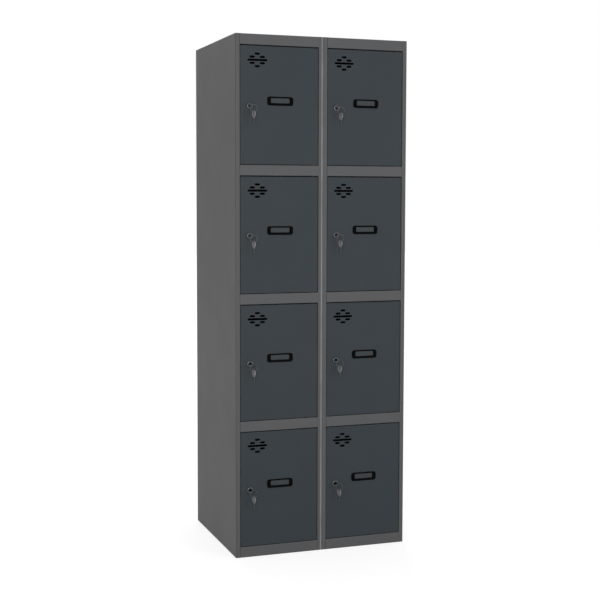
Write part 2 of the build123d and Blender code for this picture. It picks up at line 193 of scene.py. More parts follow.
floor_paint = bpy.data.materials.new("studio_floor")
floor_paint.use_nodes = True
floor_tree = floor_paint.node_tree
floor_tree.nodes.clear()
floor_grey = put(floor_tree, "BsdfDiffuse", {"Color": floor_tone})
floor_place = put(floor_tree, "NewGeometry").outputs["Position"]
floor_range = put(floor_tree, "VectorMath", {0: floor_place}, operation="LENGTH").outputs["Value"]
floor_lift = remap(floor_tree, floor_range, glow_near, glow_far, glow_least, glow_most)
floor_lift = calc(floor_tree, "MULTIPLY", seen_directly(floor_tree), floor_lift)
floor_lift = calc(floor_tree, "MULTIPLY", floor_lift, outside_carcass(floor_tree, floor_place))
floor_glow = put(floor_tree, "Emission", {"Strength": floor_lift})
floor_sum = put(floor_tree, "AddShader", {0: floor_grey.outputs[0], 1: floor_glow.outputs[0]})
put(floor_tree, "OutputMaterial", {"Surface": floor_sum.outputs[0]})
floor_mesh.materials.append(floor_paint)
print("floor:", 2 * floor_half, "m square")

# %% [markdown]
# ## Effects that several finishes share
# Powder coat, moulded plastic and plated metal all need some unevenness: a fine grain, paler folds
# where a coat runs thin, dust on what faces up, and hair-fine scratches. Each effect is one node
# group that is built once, so that every finish can use it with its own numbers.

# %% Group helper
def new_group(name, inputs, outputs):
    """Start a shader group: a Vector and numbers go in, masks and heights come out."""
    tree = bpy.data.node_groups.new(name, "ShaderNodeTree")
    tree.interface.new_socket("Vector", in_out="INPUT", socket_type="NodeSocketVector")
    for label, value in inputs.items():
        socket = tree.interface.new_socket(label, in_out="INPUT", socket_type="NodeSocketFloat")
        socket.default_value = value
    for label in outputs:
        tree.interface.new_socket(label, in_out="OUTPUT", socket_type="NodeSocketFloat")
    return tree, tree.nodes.new("NodeGroupInput").outputs, tree.nodes.new("NodeGroupOutput").inputs


def noise(tree, where, scale, detail=2.0):
    """The value of a noise with so many grains per metre."""
    sockets = {"Vector": where, "Scale": scale, "Detail": detail}
    return put(tree, "TexNoise", sockets).outputs["Fac"]


print("group helper ready")

# %% Coat grain
noise_low, noise_high = 0.3, 0.7
coat_grain, given, gives = new_group(
    "coat_grain", {"Grain": 700.0, "Mottle": 14.0}, ["Tone", "Height"]
)
grain_fine = noise(coat_grain, given["Vector"], given["Grain"])
grain_wide = noise(coat_grain, given["Vector"], given["Mottle"], detail=4.0)
coat_grain.links.new(grain_fine, gives["Height"])
coat_grain.links.new(remap(coat_grain, grain_wide, noise_low, noise_high), gives["Tone"])
print("group:", coat_grain.name)

# %% [markdown]
# Sheet steel is folded, and on an outside fold the coat is thinner and paler. The folds of this
# cabinet repeat: every 300 mm across and every 419 mm upwards. A ping-pong function turns any place
# into its distance from the nearest column border and the nearest rail centre, so one small
# formula finds the folds of all eight doors and all ten rails. Where the two columns meet, a pale
# band on the rounded edge of the left one is a painted highlight: the light that edge catches.

# %% Fold wear and painted seam highlight
column_width = 0.300
tier_pitch = 0.419
rail_middle = 0.017
fold_reach = 0.003
chip_scale, chip_low, chip_high = 90.0, 0.35, 0.65
# where the painted seam highlight lies, and how its strength varies along the edge
seam_highlight_left = 0.0025
seam_highlight_core, seam_highlight_reach = 0.0015, 0.0045
patch_scale, patch_low, patch_high, patch_least = 7.0, 0.3, 0.6, 0.6
front_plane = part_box("left_column_left_side")[0].y

fold_wear_and_seam_highlight, given, gives = new_group(
    "fold_wear_and_seam_highlight", {"Side": 0.015, "Rail": 0.017, "Depth": 0.003, "Amount": 0.3}, ["Wear", "Seam"]
)
place = put(fold_wear_and_seam_highlight, "SeparateXYZ", {0: given["Vector"]}).outputs
across = calc(fold_wear_and_seam_highlight, "PINGPONG", place["X"], column_width / 2)
upward = calc(fold_wear_and_seam_highlight, "SUBTRACT", place["Z"], rail_middle)
upward = calc(fold_wear_and_seam_highlight, "PINGPONG", upward, tier_pitch / 2)
off_side = calc(fold_wear_and_seam_highlight, "ABSOLUTE", calc(fold_wear_and_seam_highlight, "SUBTRACT", across, given["Side"]))
off_rail = calc(fold_wear_and_seam_highlight, "ABSOLUTE", calc(fold_wear_and_seam_highlight, "SUBTRACT", upward, given["Rail"]))
off_fold = calc(fold_wear_and_seam_highlight, "MINIMUM", off_side, off_rail)
behind = calc(fold_wear_and_seam_highlight, "SUBTRACT", place["Y"], front_plane)
in_front = calc(fold_wear_and_seam_highlight, "LESS_THAN", behind, given["Depth"])
chips = noise(fold_wear_and_seam_highlight, given["Vector"], chip_scale, detail=4.0)
broken = remap(fold_wear_and_seam_highlight, chips, chip_low, chip_high)
thin = remap(fold_wear_and_seam_highlight, off_fold, 0.0, fold_reach, 1.0, 0.0)
thin = calc(fold_wear_and_seam_highlight, "MULTIPLY", calc(fold_wear_and_seam_highlight, "MULTIPLY", thin, broken), in_front)
fold_wear_and_seam_highlight.links.new(calc(fold_wear_and_seam_highlight, "MULTIPLY", thin, given["Amount"]), gives["Wear"])
# painted highlight: a pale band on the left column's rounded edge where the two columns meet
off_seam_highlight = calc(fold_wear_and_seam_highlight, "ABSOLUTE", calc(fold_wear_and_seam_highlight, "ADD", place["X"], seam_highlight_left))
seam_highlight = remap(fold_wear_and_seam_highlight, off_seam_highlight, seam_highlight_core, seam_highlight_reach, 1.0, 0.0)
patches = noise(fold_wear_and_seam_highlight, given["Vector"], patch_scale, detail=3.0)
patchy = remap(fold_wear_and_seam_highlight, patches, patch_low, patch_high, patch_least, 1.0)
seam_highlight = calc(fold_wear_and_seam_highlight, "MULTIPLY", calc(fold_wear_and_seam_highlight, "MULTIPLY", seam_highlight, patchy), in_front)
fold_wear_and_seam_highlight.links.new(seam_highlight, gives["Seam"])
print("group:", fold_wear_and_seam_highlight.name, "from front plane y =", round(front_plane, 4))

# %% Settled dust
dust_slope, dust_level = 0.7, 0.98
settled_dust, given, gives = new_group("settled_dust", {"Patch": 25.0, "Amount": 0.3}, ["Dust"])
facing = put(settled_dust, "NewGeometry").outputs["Normal"]
upright = put(settled_dust, "SeparateXYZ", {0: facing}).outputs["Z"]
level = remap(settled_dust, upright, dust_slope, dust_level)
patch = noise(settled_dust, given["Vector"], given["Patch"], detail=6.0)
patch = remap(settled_dust, patch, noise_low, noise_high)
level = calc(settled_dust, "MULTIPLY", level, patch)
level = calc(settled_dust, "MULTIPLY", level, given["Amount"])
settled_dust.links.new(level, gives["Dust"])
print("group:", settled_dust.name)

# %% Hair scratches
level_hairs = (300.0, 300.0, 6000.0)
steep_hairs = (5000.0, 700.0, 400.0)
hair_low, hair_high = 0.55, 0.75


def drawn_noise(tree, where, grains, scale):
    """A noise drawn out into hairs: each direction has its own number of grains per metre."""
    drawn = put(tree, "VectorMath", {0: where, 1: grains}, operation="MULTIPLY").outputs[0]
    return noise(tree, drawn, scale)


hair_scratches, given, gives = new_group("hair_scratches", {"Scale": 1.0}, ["Scratch", "Height"])
lines_one = drawn_noise(hair_scratches, given["Vector"], level_hairs, given["Scale"])
lines_two = drawn_noise(hair_scratches, given["Vector"], steep_hairs, given["Scale"])
lines = calc(hair_scratches, "MAXIMUM", lines_one, lines_two)
hair_scratches.links.new(remap(hair_scratches, lines, hair_low, hair_high), gives["Scratch"])
hair_scratches.links.new(lines, gives["Height"])
print("group:", hair_scratches.name)

# %% [markdown]
# ## Material helper
# Each finish starts from the Principled shader. Numbers that are the same all over the surface are
# set on the shader itself, and only what changes over the surface comes from the groups.
# All patterns use Object coordinates: every piece sits at the origin, so these are metres of the
# room.

# %% Material helper
def new_finish(name, fixed):
    """A material with its Principled shader, fixed numbers set, and Object coordinates."""
    material = bpy.data.materials.new(name)
    material.use_nodes = True
    tree = material.node_tree
    shader = tree.nodes["Principled BSDF"]
    for socket, value in fixed.items():
        shader.inputs[socket].default_value = value
    return material, tree, shader.inputs, put(tree, "TexCoord").outputs["Object"]


def effect(tree, group, where, **values):
    """Place a shared group in a material, with its own numbers."""
    made = tree.nodes.new("ShaderNodeGroup")
    made.node_tree = group
    tree.links.new(where, made.inputs["Vector"])
    for label, value in values.items():
        made.inputs[label].default_value = value
    return made.outputs


mix_share, mix_first, mix_second, mix_result = 0, 6, 7, 2


def tint(tree, share, first, second):
    """The colour first, turning into second where share is 1: the colour sockets of a Mix node."""
    sockets = {mix_share: share, mix_first: first, mix_second: second}
    return put(tree, "Mix", sockets, data_type="RGBA").outputs[mix_result]


def roughen(tree, height, strength, distance):
    """The bumped normal of a height that is so many metres deep."""
    sockets = {"Height": height, "Strength": strength, "Distance": distance}
    return put(tree, "Bump", sockets).outputs["Normal"]


print("material helper ready")

# %% [markdown]
# ## Powder coat
# The carcass is a mid grey and the doors are a darker, cooler grey, both in satin powder coat.
# Powder melts into a skin with a fine orange-peel grain and slow drifts in tone. One function makes
# both coats, so that they differ only in colour and in where their folds are.

# %% Powder coats
dust_grey = (0.30, 0.29, 0.27, 1.0)
coat_gloss, coat_haze = 0.46, 0.49


def powder_coat(name, deep, light, worn, seam_highlight, side, rail, depth):
    """Satin powder coat: near tones drift, folds are paler, a painted highlight lies along the
    seam, dust lies on top, grain bumps it.
    """
    material, tree, shader, where = new_finish(name, {"Specular IOR Level": 0.1})
    grain = effect(tree, coat_grain, where, Grain=750.0, Mottle=9.0)
    wear = effect(tree, fold_wear_and_seam_highlight, where, Side=side, Rail=rail, Depth=depth, Amount=0.35)
    dust = effect(tree, settled_dust, where, Patch=18.0, Amount=0.16)
    colour = tint(tree, grain["Tone"], deep, light)
    colour = tint(tree, wear["Wear"], colour, worn)
    # painted highlight along the seam between the columns
    colour = tint(tree, wear["Seam"], colour, seam_highlight)
    colour = tint(tree, dust["Dust"], colour, dust_grey)
    tree.links.new(colour, shader["Base Color"])
    gloss = remap(tree, grain["Tone"], 0.0, 1.0, coat_gloss, coat_haze)
    tree.links.new(gloss, shader["Roughness"])
    peel = roughen(tree, grain["Height"], strength=0.25, distance=0.0002)
    tree.links.new(peel, shader["Normal"])
    return material


carcass_coat = powder_coat(
    "carcass_coat",
    deep=(0.102, 0.103, 0.106, 1.0), light=(0.106, 0.107, 0.110, 1.0),
    worn=(0.145, 0.147, 0.150, 1.0), seam_highlight=(0.27, 0.275, 0.285, 1.0),
    side=0.015, rail=0.017, depth=0.0042,
)
door_coat = powder_coat(
    "door_coat",
    deep=(0.0395, 0.0488, 0.0545, 1.0), light=(0.0415, 0.0508, 0.0575, 1.0),
    worn=(0.070, 0.075, 0.079, 1.0), seam_highlight=(0.070, 0.075, 0.079, 1.0),
    side=0.0172, rail=0.020, depth=0.006,
)
print("coats:", carcass_coat.name, door_coat.name)

# %% [markdown]
# ## Plastic and rubber
# The label frames are moulded in black, the washers under the doors are black nylon, and the
# stops behind the doors are rubber. They use the same grain group with finer or coarser numbers.

# %% Plastics
rough_drift = 0.1


def moulded(name, deep, light, rough, fixed, grain_size=1500.0, depth=0.0001):
    """A moulded material: close tones, a fine eroded grain and a little dust."""
    material, tree, shader, where = new_finish(name, fixed)
    grain = effect(tree, coat_grain, where, Grain=grain_size, Mottle=60.0)
    dust = effect(tree, settled_dust, where, Patch=60.0, Amount=0.12)
    colour = tint(tree, dust["Dust"], tint(tree, grain["Tone"], deep, light), dust_grey)
    tree.links.new(colour, shader["Base Color"])
    gloss = remap(tree, grain["Tone"], 0.0, 1.0, rough, rough + rough_drift)
    tree.links.new(gloss, shader["Roughness"])
    eroded = roughen(tree, grain["Height"], strength=0.3, distance=depth)
    tree.links.new(eroded, shader["Normal"])
    return material


black_moulding = moulded(
    "black_moulding", deep=(0.0014, 0.0014, 0.0016, 1.0), light=(0.0026, 0.0026, 0.0030, 1.0),
    rough=0.5, fixed={"Specular IOR Level": 0.02},
)
nylon = moulded(
    "black_nylon", deep=(0.010, 0.010, 0.011, 1.0), light=(0.017, 0.017, 0.018, 1.0),
    rough=0.5, fixed={},
)
rubber = moulded(
    "rubber", deep=(0.012, 0.012, 0.012, 1.0), light=(0.022, 0.022, 0.021, 1.0),
    rough=0.75, fixed={"Specular IOR Level": 0.3}, grain_size=900.0, depth=0.0003,
)
label_film = moulded(
    "label_film", deep=(0.044, 0.052, 0.057, 1.0), light=(0.050, 0.058, 0.063, 1.0),
    rough=0.4, fixed={"Specular IOR Level": 0.1}, grain_size=400.0, depth=0.00005,
)
print("plastics:", black_moulding.name, nylon.name, rubber.name, label_film.name)

# %% [markdown]
# ## Plated metals
# The lock housings are black nickel, and the key in each lock takes the same dark finish as
# painted shade, darker than its twin on the ring. The hanging keys' blades and rings are dull
# nickel, and their paler bows are a painted highlight. Bolts and rivets are zinc plated, and hinge
# pins are dark steel. Plating hazes and scratches, so both the colour and the gloss follow the
# scratch group, and the drift of tone comes from the coat group.

# %% Metals
def plated(name, clean, hazed, gloss, haze, scale, metal=1.0):
    """A plated metal: clean and hazed tones, and hair scratches that are rougher."""
    material, tree, shader, where = new_finish(name, {"Metallic": metal})
    drift = effect(tree, coat_grain, where, Grain=1200.0, Mottle=120.0)
    hair = effect(tree, hair_scratches, where, Scale=scale)
    colour = tint(tree, drift["Tone"], hazed, clean)
    tree.links.new(tint(tree, hair["Scratch"], colour, hazed), shader["Base Color"])
    tree.links.new(remap(tree, hair["Scratch"], 0.0, 1.0, gloss, haze), shader["Roughness"])
    scored = roughen(tree, hair["Height"], strength=0.15, distance=0.00003)
    tree.links.new(scored, shader["Normal"])
    return material


zinc = plated(
    "zinc_plate", clean=(0.56, 0.57, 0.58, 1.0), hazed=(0.42, 0.43, 0.44, 1.0),
    gloss=0.3, haze=0.5, scale=0.6,
)
lock_nickel = plated(
    "lock_nickel", clean=(0.086, 0.089, 0.093, 1.0), hazed=(0.066, 0.069, 0.073, 1.0),
    gloss=0.3, haze=0.44, scale=0.8,
)
# pale bows of the hanging keys: a painted highlight
key_nickel_painted_highlight = plated(
    "key_nickel_painted_highlight", clean=(0.28, 0.28, 0.29, 1.0), hazed=(0.235, 0.235, 0.245, 1.0),
    gloss=0.46, haze=0.6, scale=1.0, metal=0.3,
)
dull_nickel = plated(
    "dull_nickel", clean=(0.080, 0.083, 0.087, 1.0), hazed=(0.064, 0.067, 0.071, 1.0),
    gloss=0.46, haze=0.6, scale=1.0, metal=0.3,
)
dark_steel = plated(
    "dark_steel", clean=(0.035, 0.035, 0.037, 1.0), hazed=(0.022, 0.022, 0.023, 1.0),
    gloss=0.4, haze=0.55, scale=0.7,
)
metals = (zinc, lock_nickel, key_nickel_painted_highlight, dull_nickel, dark_steel)
print("metals:", [made.name for made in metals])

# %% [markdown]
# ## Paint on the solids
# Sheets, doors, pins and bolts already have the right shape, so their nodes stay and only get their
# finish. The words in a node's name say which finish it takes.

# %% Finish every node
finish_of_word = {
    "_column_": carcass_coat,
    "_panel": door_coat,
    "_label_holder": black_moulding,
    "_lock_barrel": lock_nickel,
    "_lock_core": key_nickel_painted_highlight,
    "_spare_key": key_nickel_painted_highlight,
    "hinge_pins": dark_steel,
    "hinge_washers": nylon,
    "door_buffers": rubber,
    "column_bolts": zinc,
    "column_nuts": zinc,
    "back_rivets": zinc,
}
for name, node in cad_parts.items():
    finish = next(made for word, made in finish_of_word.items() if word in name)
    for holder in node.material_slots:
        holder.material = finish
print("finished nodes:", len(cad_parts))

# %% [markdown]
# ## Surfaces from loops
# All the fittings below are lofts: closed loops of points, one above the other, joined by faces.
# A circle gives turned shapes, and a circle whose four quarters are pushed apart gives a rounded
# rectangle or a stadium. Because all loops use the same angles, any two of them can be joined.

# %% Loops and lofts
loop_points = 64
angle = (np.arange(loop_points) + 0.5) * 2 * pi / loop_points


def pushed_circle(radius, push_x=0.0, push_z=0.0):
    """x = radius cos(angle), z = radius sin(angle), each quarter moved outwards by the pushes."""
    cos, sin = np.cos(angle), np.sin(angle)
    across = radius * cos + push_x * np.sign(cos)
    upward = radius * sin + push_z * np.sign(sin)
    return np.stack([across, upward], -1)


def at_depth(loop, depth, rise=0.0):
    """Lay a flat loop in the room: x across, y the depth, z upwards and raised by rise."""
    return np.stack([loop[:, 0], np.full(len(loop), depth), loop[:, 1] + rise], -1)


def turned(profile):
    """A turned surface: each (radius, depth) of the profile becomes a circle about the y axis."""
    return np.stack([at_depth(pushed_circle(radius), depth) for radius, depth in profile])


def loft(loops, ring=False, caps=False):
    """Faces between neighbouring loops; ring joins the last to the first, caps close the ends."""
    if caps:
        ends = np.repeat(loops[[0, -1]].mean(1, keepdims=True), loops.shape[1], 1)
        loops = np.concatenate([ends[:1], loops, ends[1:]])
    index = np.arange(loops.shape[0] * loops.shape[1]).reshape(loops.shape[:2])
    upper = np.roll(index, -1, 0) if ring else index[1:]
    lower = index if ring else index[:-1]
    quads = np.stack([lower, np.roll(lower, -1, 1), np.roll(upper, -1, 1), upper], -1)
    return loops.reshape(-1, 3), quads.reshape(-1, 4)


print("loops of", loop_points, "points")

# %% Pieces from lofts
weld_distance = 1e-6
crumb_length = 1e-7
sharp_angle = radians(38)


def make_piece(name, surfaces, origin, finish, body, slot, *stands_for):
    """One mesh from lofts in millimetres round an origin in metres: merged, closed, facing out."""
    starts = np.cumsum([0] + [len(points) for points, quads in surfaces])
    points = np.concatenate([points for points, quads in surfaces]) * mm + np.asarray(origin)
    faces = np.concatenate([quads + start for (_, quads), start in zip(surfaces, starts)])
    mesh = bpy.data.meshes.new(name)
    mesh.from_pydata(points.tolist(), [], faces.tolist())
    shape = bmesh.new()
    shape.from_mesh(mesh)
    bmesh.ops.remove_doubles(shape, verts=shape.verts, dist=weld_distance)
    bmesh.ops.dissolve_degenerate(shape, edges=shape.edges, dist=crumb_length)
    bmesh.ops.recalc_face_normals(shape, faces=shape.faces)
    shape.to_mesh(mesh)
    shape.free()
    mesh.shade_smooth()
    mesh.set_sharp_from_angle(angle=sharp_angle)
    mesh.materials.append(finish)
    made = bpy.data.objects.new(name, mesh)
    scene.collection.objects.link(made)
    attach(made, body)
    if stands_for:
        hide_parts(*stands_for)


def middle(node):
    """The centre of a node's box, in metres."""
    low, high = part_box(node)
    return (low + high) / 2


print("piece maker ready")

# %% [markdown]
# ## Label frame
# Each door carries a black moulded frame, 88 by 28 mm, round a window for a name card. A box with a
# hole would look cut from a plate. Here the section of the moulding, with a rounded outer edge, a
# flat face and a slope down to the window, is carried round from the outer outline to the inner
# one.

# %% Label frame
frame_half_width, frame_half_height = 44.2, 14.15
frame_thick = 3.5
frame_corner = 8.0
frame_round = 1.2
frame_push = (frame_half_width - frame_corner, frame_half_height - frame_corner)
window_half_width, window_half_height = 32.0, 7.85
window_corner = 2.5
window_push = (window_half_width - window_corner, window_half_height - window_corner)
window_rise = 1.6
window_slope = [(1.2, frame_thick), (0.9, frame_thick - 0.15), (0.2, 1.8), (0.0, 1.5), (0.0, 0.0)]
bend = np.linspace(0.0, pi / 2, 6)


def label_frame():
    """Loops from the door face up the rounded outside, over the face, down the slope, and back."""
    edge = [
        (frame_round * (1 - np.cos(t)), frame_thick - frame_round * (1 - np.sin(t))) for t in bend
    ]
    outer = [(0.0, 0.0), *edge]
    loops = [at_depth(pushed_circle(frame_corner - inset, *frame_push), -up) for inset, up in outer]
    loops += [
        at_depth(pushed_circle(window_corner + spread, *window_push), -up, window_rise)
        for spread, up in window_slope
    ]
    return loft(np.stack(loops), ring=True)


peg_radius = 2.5
peg_length = 5.0
peg_reach = 38.2
peg_root = -0.5
peg_tip = 0.8


def label_peg(side):
    """A turned peg with a rounded tip, which holds the frame in the door."""
    profile = [(peg_radius, peg_root), (peg_radius, peg_length - peg_tip)]
    profile += [(peg_radius - peg_tip, peg_length)]
    return loft(turned(profile) + (side * peg_reach, 0.0, 0.0), caps=True)


card_half_width = 31.9
card_push = 7.6
card_round = 0.2
card_lift, card_bow = 0.9, 0.5
card_steps = 33


def label_card():
    """A thin card, bowed forward along the window: depth falls with the square of x."""
    along = np.linspace(-card_half_width, card_half_width, card_steps)
    bow = card_lift + card_bow * (1 - (along / along.max()) ** 2)
    edge = pushed_circle(card_round, 0.0, card_push)
    shape = (len(along), loop_points)
    across = np.broadcast_to(along[:, None], shape)
    depth = edge[:, 0] - bow[:, None]
    height = np.broadcast_to(edge[:, 1] + window_rise, shape)
    return loft(np.stack([across, depth, height], -1), caps=True)


label_surfaces = [label_frame(), label_peg(-1), label_peg(1)]
card_surfaces = [label_card()]
door_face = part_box("left_door_1_panel")[0].y
for side, tier in doors:
    door = f"{side}_door_{tier}"
    spot = middle(f"{door}_label_holder")
    spot.y = door_face
    make_piece(
        f"{door}_label_frame", label_surfaces, spot, black_moulding, door, "label_plastic",
        f"{door}_label_holder",
    )
    make_piece(f"{door}_label_card", card_surfaces, spot, label_film, door, "label_plastic")
print("label frames and cards:", 2 * len(doors))

# %% [markdown]
# ## Lock housing
# A cam lock is a threaded barrel behind a round bezel, clamped to the door by a nut. All of it is
# turned, so one profile of radius against depth gives the domed bezel, the collar and the thread.
# The nut is a turned shape too, except that its outer loops follow a hexagon: the radius is the
# half flat divided by the cosine of the angle from the middle of the nearest flat.

# %% Lock housing
bezel_radius = 11.0
bezel_face = -4.0
dome_width, dome_drop = 3.4, 2.6
bore_radius = 6.06
bore_edge = [(0.0, 0.5), (0.3, 0.1), (0.6, 0.0)]
barrel_radius = 9.0
barrel_end = 24.95
barrel_chamfer = 0.6
collar_end = 8.5
thread_start = 9.0
thread_tail = 1.0
thread_pitch = 1.25
thread_shape = [(0.0, 0.0), (0.0, 0.3), (0.55, 0.7), (0.55, 0.9)]


def lock_housing():
    """Profile from the bore over the domed bezel, the door face and the thread, and back."""
    rim = [
        (bezel_radius - dome_width * (1 - np.sin(t)), bezel_face + dome_drop * (1 - np.cos(t)))
        for t in bend
    ]
    face = [(bore_radius + spread, bezel_face + sunk) for spread, sunk in bore_edge]
    turns = np.arange(thread_start, barrel_end - thread_tail, thread_pitch)
    thread = [(barrel_radius - cut, start + step) for start in turns for cut, step in thread_shape]
    body = [(bezel_radius, 0.0), (barrel_radius, 0.0), (barrel_radius, collar_end), *thread]
    tail = [(barrel_radius - barrel_chamfer, barrel_end), (bore_radius, barrel_end)]
    return loft(turned([*face, *rim, *body, *tail]), ring=True)


nut_half = 12.0
nut_face = 0.96 * nut_half
nut_clearance = 0.05
nut_front = 0.8
nut_back = 5.8


def lock_nut():
    """Hexagon nut: chamfer depth grows with the corner's height above the flat, times tan 30."""
    off_flat = (angle + pi / 6) % (pi / 3) - pi / 6
    hexagon = nut_half / np.cos(off_flat)
    chamfer = (hexagon - nut_face) * np.tan(pi / 6)
    round_face = pushed_circle(nut_face)
    outline = np.stack([hexagon * np.cos(angle), hexagon * np.sin(angle)], -1)
    bore = pushed_circle(barrel_radius + nut_clearance)
    loops = [at_depth(bore, nut_front), at_depth(outline, nut_front)]
    loops += [at_depth(outline, nut_back - chamfer), at_depth(round_face, nut_back)]
    loops += [at_depth(bore, nut_back)]
    return loft(np.stack(loops), ring=True)


housing_surfaces = [lock_housing()]
nut_surfaces = [lock_nut()]
lock_spots = {}
for side, tier in doors:
    door = f"{side}_door_{tier}"
    spot = middle(f"{door}_lock_barrel")
    spot.y = door_face
    lock_spots[side, tier] = spot
    make_piece(
        f"{door}_lock_housing", housing_surfaces, spot, lock_nickel, door, "lock_chrome",
        f"{door}_lock_barrel",
    )
    make_piece(f"{door}_lock_nut", nut_surfaces, spot, zinc, door, "plain_steel")
print("lock housings and nuts:", 2 * len(doors))

# %% [markdown]
# ## Plug and cam
# Inside the housing a plug turns with the key, and behind the door it carries the cam that reaches
# past the strike lip. The front of the plug is a loft from the slot of the keyway out to the plug's
# own circle, so the slot is a real opening, and a black disc sunk round it is painted shade: it
# stands in for the dark of the keyhole. The cam is a stadium with eased edges, and its screw head
# is a dome whose height drops where a cross of two bars is cut into it.

# %% Plug
plug_radius = 5.94
plug_face = -3.5
plug_flat = 5.5
plug_chamfer = 0.4
plug_gap = 0.1
rim_ease = 0.15
cam_front = 25.0
cam_thick = 2.0
slot_push = (3.75, 0.55)
slot_radius = 0.4
slot_depth = 18.8
# the sunk black disc round the keyway is painted shade of the keyhole
shade_disc_radius = 4.4
shade_disc_floor = plug_face + 0.9
shade_disc_thick = 0.35
shade_disc_ease = 0.1
shade_disc_play = 0.04
shade_disc_seat = 0.02


def lock_plug():
    """Loops from the end of the keyway, out to the sunk floor, up its wall and along the plug."""
    slot = pushed_circle(slot_radius, *slot_push)
    rows = [(shade_disc_radius, shade_disc_floor), (shade_disc_radius, plug_face + rim_ease)]
    rows += [(shade_disc_radius + rim_ease, plug_face), (plug_flat, plug_face)]
    rows += [(plug_radius, plug_face + plug_chamfer), (plug_radius, cam_front - plug_gap)]
    loops = [at_depth(slot, slot_depth), at_depth(slot, shade_disc_floor), *turned(rows)]
    return loft(np.stack(loops), caps=True)


def keyhole_shade_disc():
    """A thin disc with the slot in it: loops run from the slot to the rim and back underneath."""
    slot = pushed_circle(slot_radius, *slot_push)
    top, foot = shade_disc_floor - shade_disc_thick, shade_disc_floor - shade_disc_seat
    rim, shoulder = shade_disc_radius - shade_disc_play, top + shade_disc_ease
    loops = [at_depth(slot, foot), at_depth(slot, shoulder), at_depth(slot, top)]
    loops += list(turned([(rim - shade_disc_ease, top), (rim, shoulder), (rim, foot)]))
    return loft(np.stack(loops), ring=True)


print("plug points:", len(lock_plug()[0]))

# %% Cam and its screw
cam_half = 7.0
cam_push = 12.25
cam_ease = 0.4
screw_radius = 5.0
screw_height = 2.5
screw_inner = 0.3
screw_steps = 18
dome_share = 0.8
cross_half, cross_reach, cross_depth = 0.6, 3.0, 1.2
bar_ease, end_ease = 0.1, 0.2


def lock_cam():
    """Stadium loops with eased edges; at radius 0 the loop is the middle line of the cam."""
    rows = [(0.0, 0.0), (cam_half - cam_ease, 0.0), (cam_half, cam_ease)]
    rows += [(cam_half, cam_thick - cam_ease), (cam_half - cam_ease, cam_thick), (0.0, cam_thick)]
    loops = [
        at_depth(pushed_circle(radius, 0.0, cam_push), cam_front + depth, -cam_push)
        for radius, depth in rows
    ]
    return loft(np.stack(loops))


def cam_screw():
    """Height = a dome over the radius, less a cross of two bars: a soft step in |x| and |z|."""
    radius = np.concatenate([[0.0], np.linspace(screw_inner, screw_radius, screw_steps)])
    across, upward = radius[:, None] * np.cos(angle), radius[:, None] * np.sin(angle)
    dome = screw_height * np.sqrt(1 - dome_share * (radius[:, None] / screw_radius) ** 2)
    bars = np.minimum(np.abs(across), np.abs(upward))
    beside = 1 + np.exp((bars - cross_half) / bar_ease)
    beyond = 1 + np.exp((radius[:, None] - cross_reach) / end_ease)
    cross = 1 / beside / beyond
    base = cam_front + cam_thick
    top = np.stack([across, base + dome - cross_depth * cross, upward], -1)
    foot = turned([(screw_radius, base), (0.0, base)])
    return loft(np.concatenate([top, foot]))


plug_surfaces = [lock_plug()]
shade_disc_surfaces = [keyhole_shade_disc()]
cam_surfaces = [lock_cam(), cam_screw()]
for side, tier in doors:
    lock = f"{side}_lock_{tier}"
    spot = lock_spots[side, tier]
    make_piece(
        f"{lock}_plug", plug_surfaces, spot, lock_nickel, lock, "lock_chrome",
        f"{side}_door_{tier}_lock_core",
    )
    # black disc round the keyway: painted shade of the keyhole
    make_piece(f"{lock}_keyhole_shade", shade_disc_surfaces, spot, black_moulding, lock, "label_plastic")
    make_piece(f"{lock}_cam", cam_surfaces, spot, zinc, lock, "plain_steel")
print("plugs, shade_discs and cams:", 3 * len(doors))

# %% [markdown]
# ## Keys
# A key has a round bow with a raised rim and a hole for the ring, a short neck, and a blade with
# milled grooves and cuts. The bow is a loft between its outline and its hole, whose thickness drops
# between two rims. The blade is one grooved section carried along its length, and the cuts simply
# lower one edge of that section where they fall. One key lies in each lock, and a twin hangs below
# it, turned 14 degrees towards the front.

# %% Key
bow_radius = 11.0
neck_end = 12.53
neck_half = 5.5
hole_radius = 4.0
hole_shift = -3.5
blade_start, blade_end = 9.0, 34.53
blade_half = 4.0
blade_tip = 0.3
blade_thin = 0.75
blade_steps = 90
key_half = 0.8


def key_bow():
    """Loops blend from the outline to the hole; half thickness follows the pressed profile."""
    neck = np.minimum(neck_end / np.abs(np.cos(angle)), neck_half / np.abs(np.sin(angle)))
    reach = np.where(np.cos(angle) > 0, np.maximum(bow_radius, neck), bow_radius)
    outline = np.stack([reach * np.cos(angle), reach * np.sin(angle)], -1)
    hole = pushed_circle(hole_radius) + (hole_shift, 0.0)
    press = np.array([
        (0.0, 0.45), (0.02, 0.65), (0.06, key_half), (0.24, key_half), (0.32, 0.52),
        (0.70, 0.52), (0.78, key_half), (0.92, key_half), (0.97, 0.65), (1.0, 0.45),
    ])
    share = np.concatenate([press[:, 0], press[::-1, 0]])[:, None, None]
    half = np.concatenate([press[:, 1], -press[::-1, 1]])[:, None, None]
    flat = outline * (1 - share) + hole * share
    return loft(np.concatenate([flat, np.broadcast_to(half, (*flat.shape[:2], 1))], -1), ring=True)


blade_section = np.array([
    (-1.0, -0.6), (-0.92, -1.0), (-0.45, -1.0), (-0.32, -0.4), (0.02, -0.4), (0.15, -1.0),
    (0.9, -1.0), (1.0, -0.6), (1.0, 0.6), (0.92, 1.0), (0.55, 1.0), (0.42, 0.45),
    (0.12, 0.45), (0.0, 1.0), (-0.9, 1.0), (-1.0, 0.6),
])
cut_places = (16.5, 20.0, 23.5, 27.0)
cut_depths = (1.3, 2.0, 0.8, 1.6)


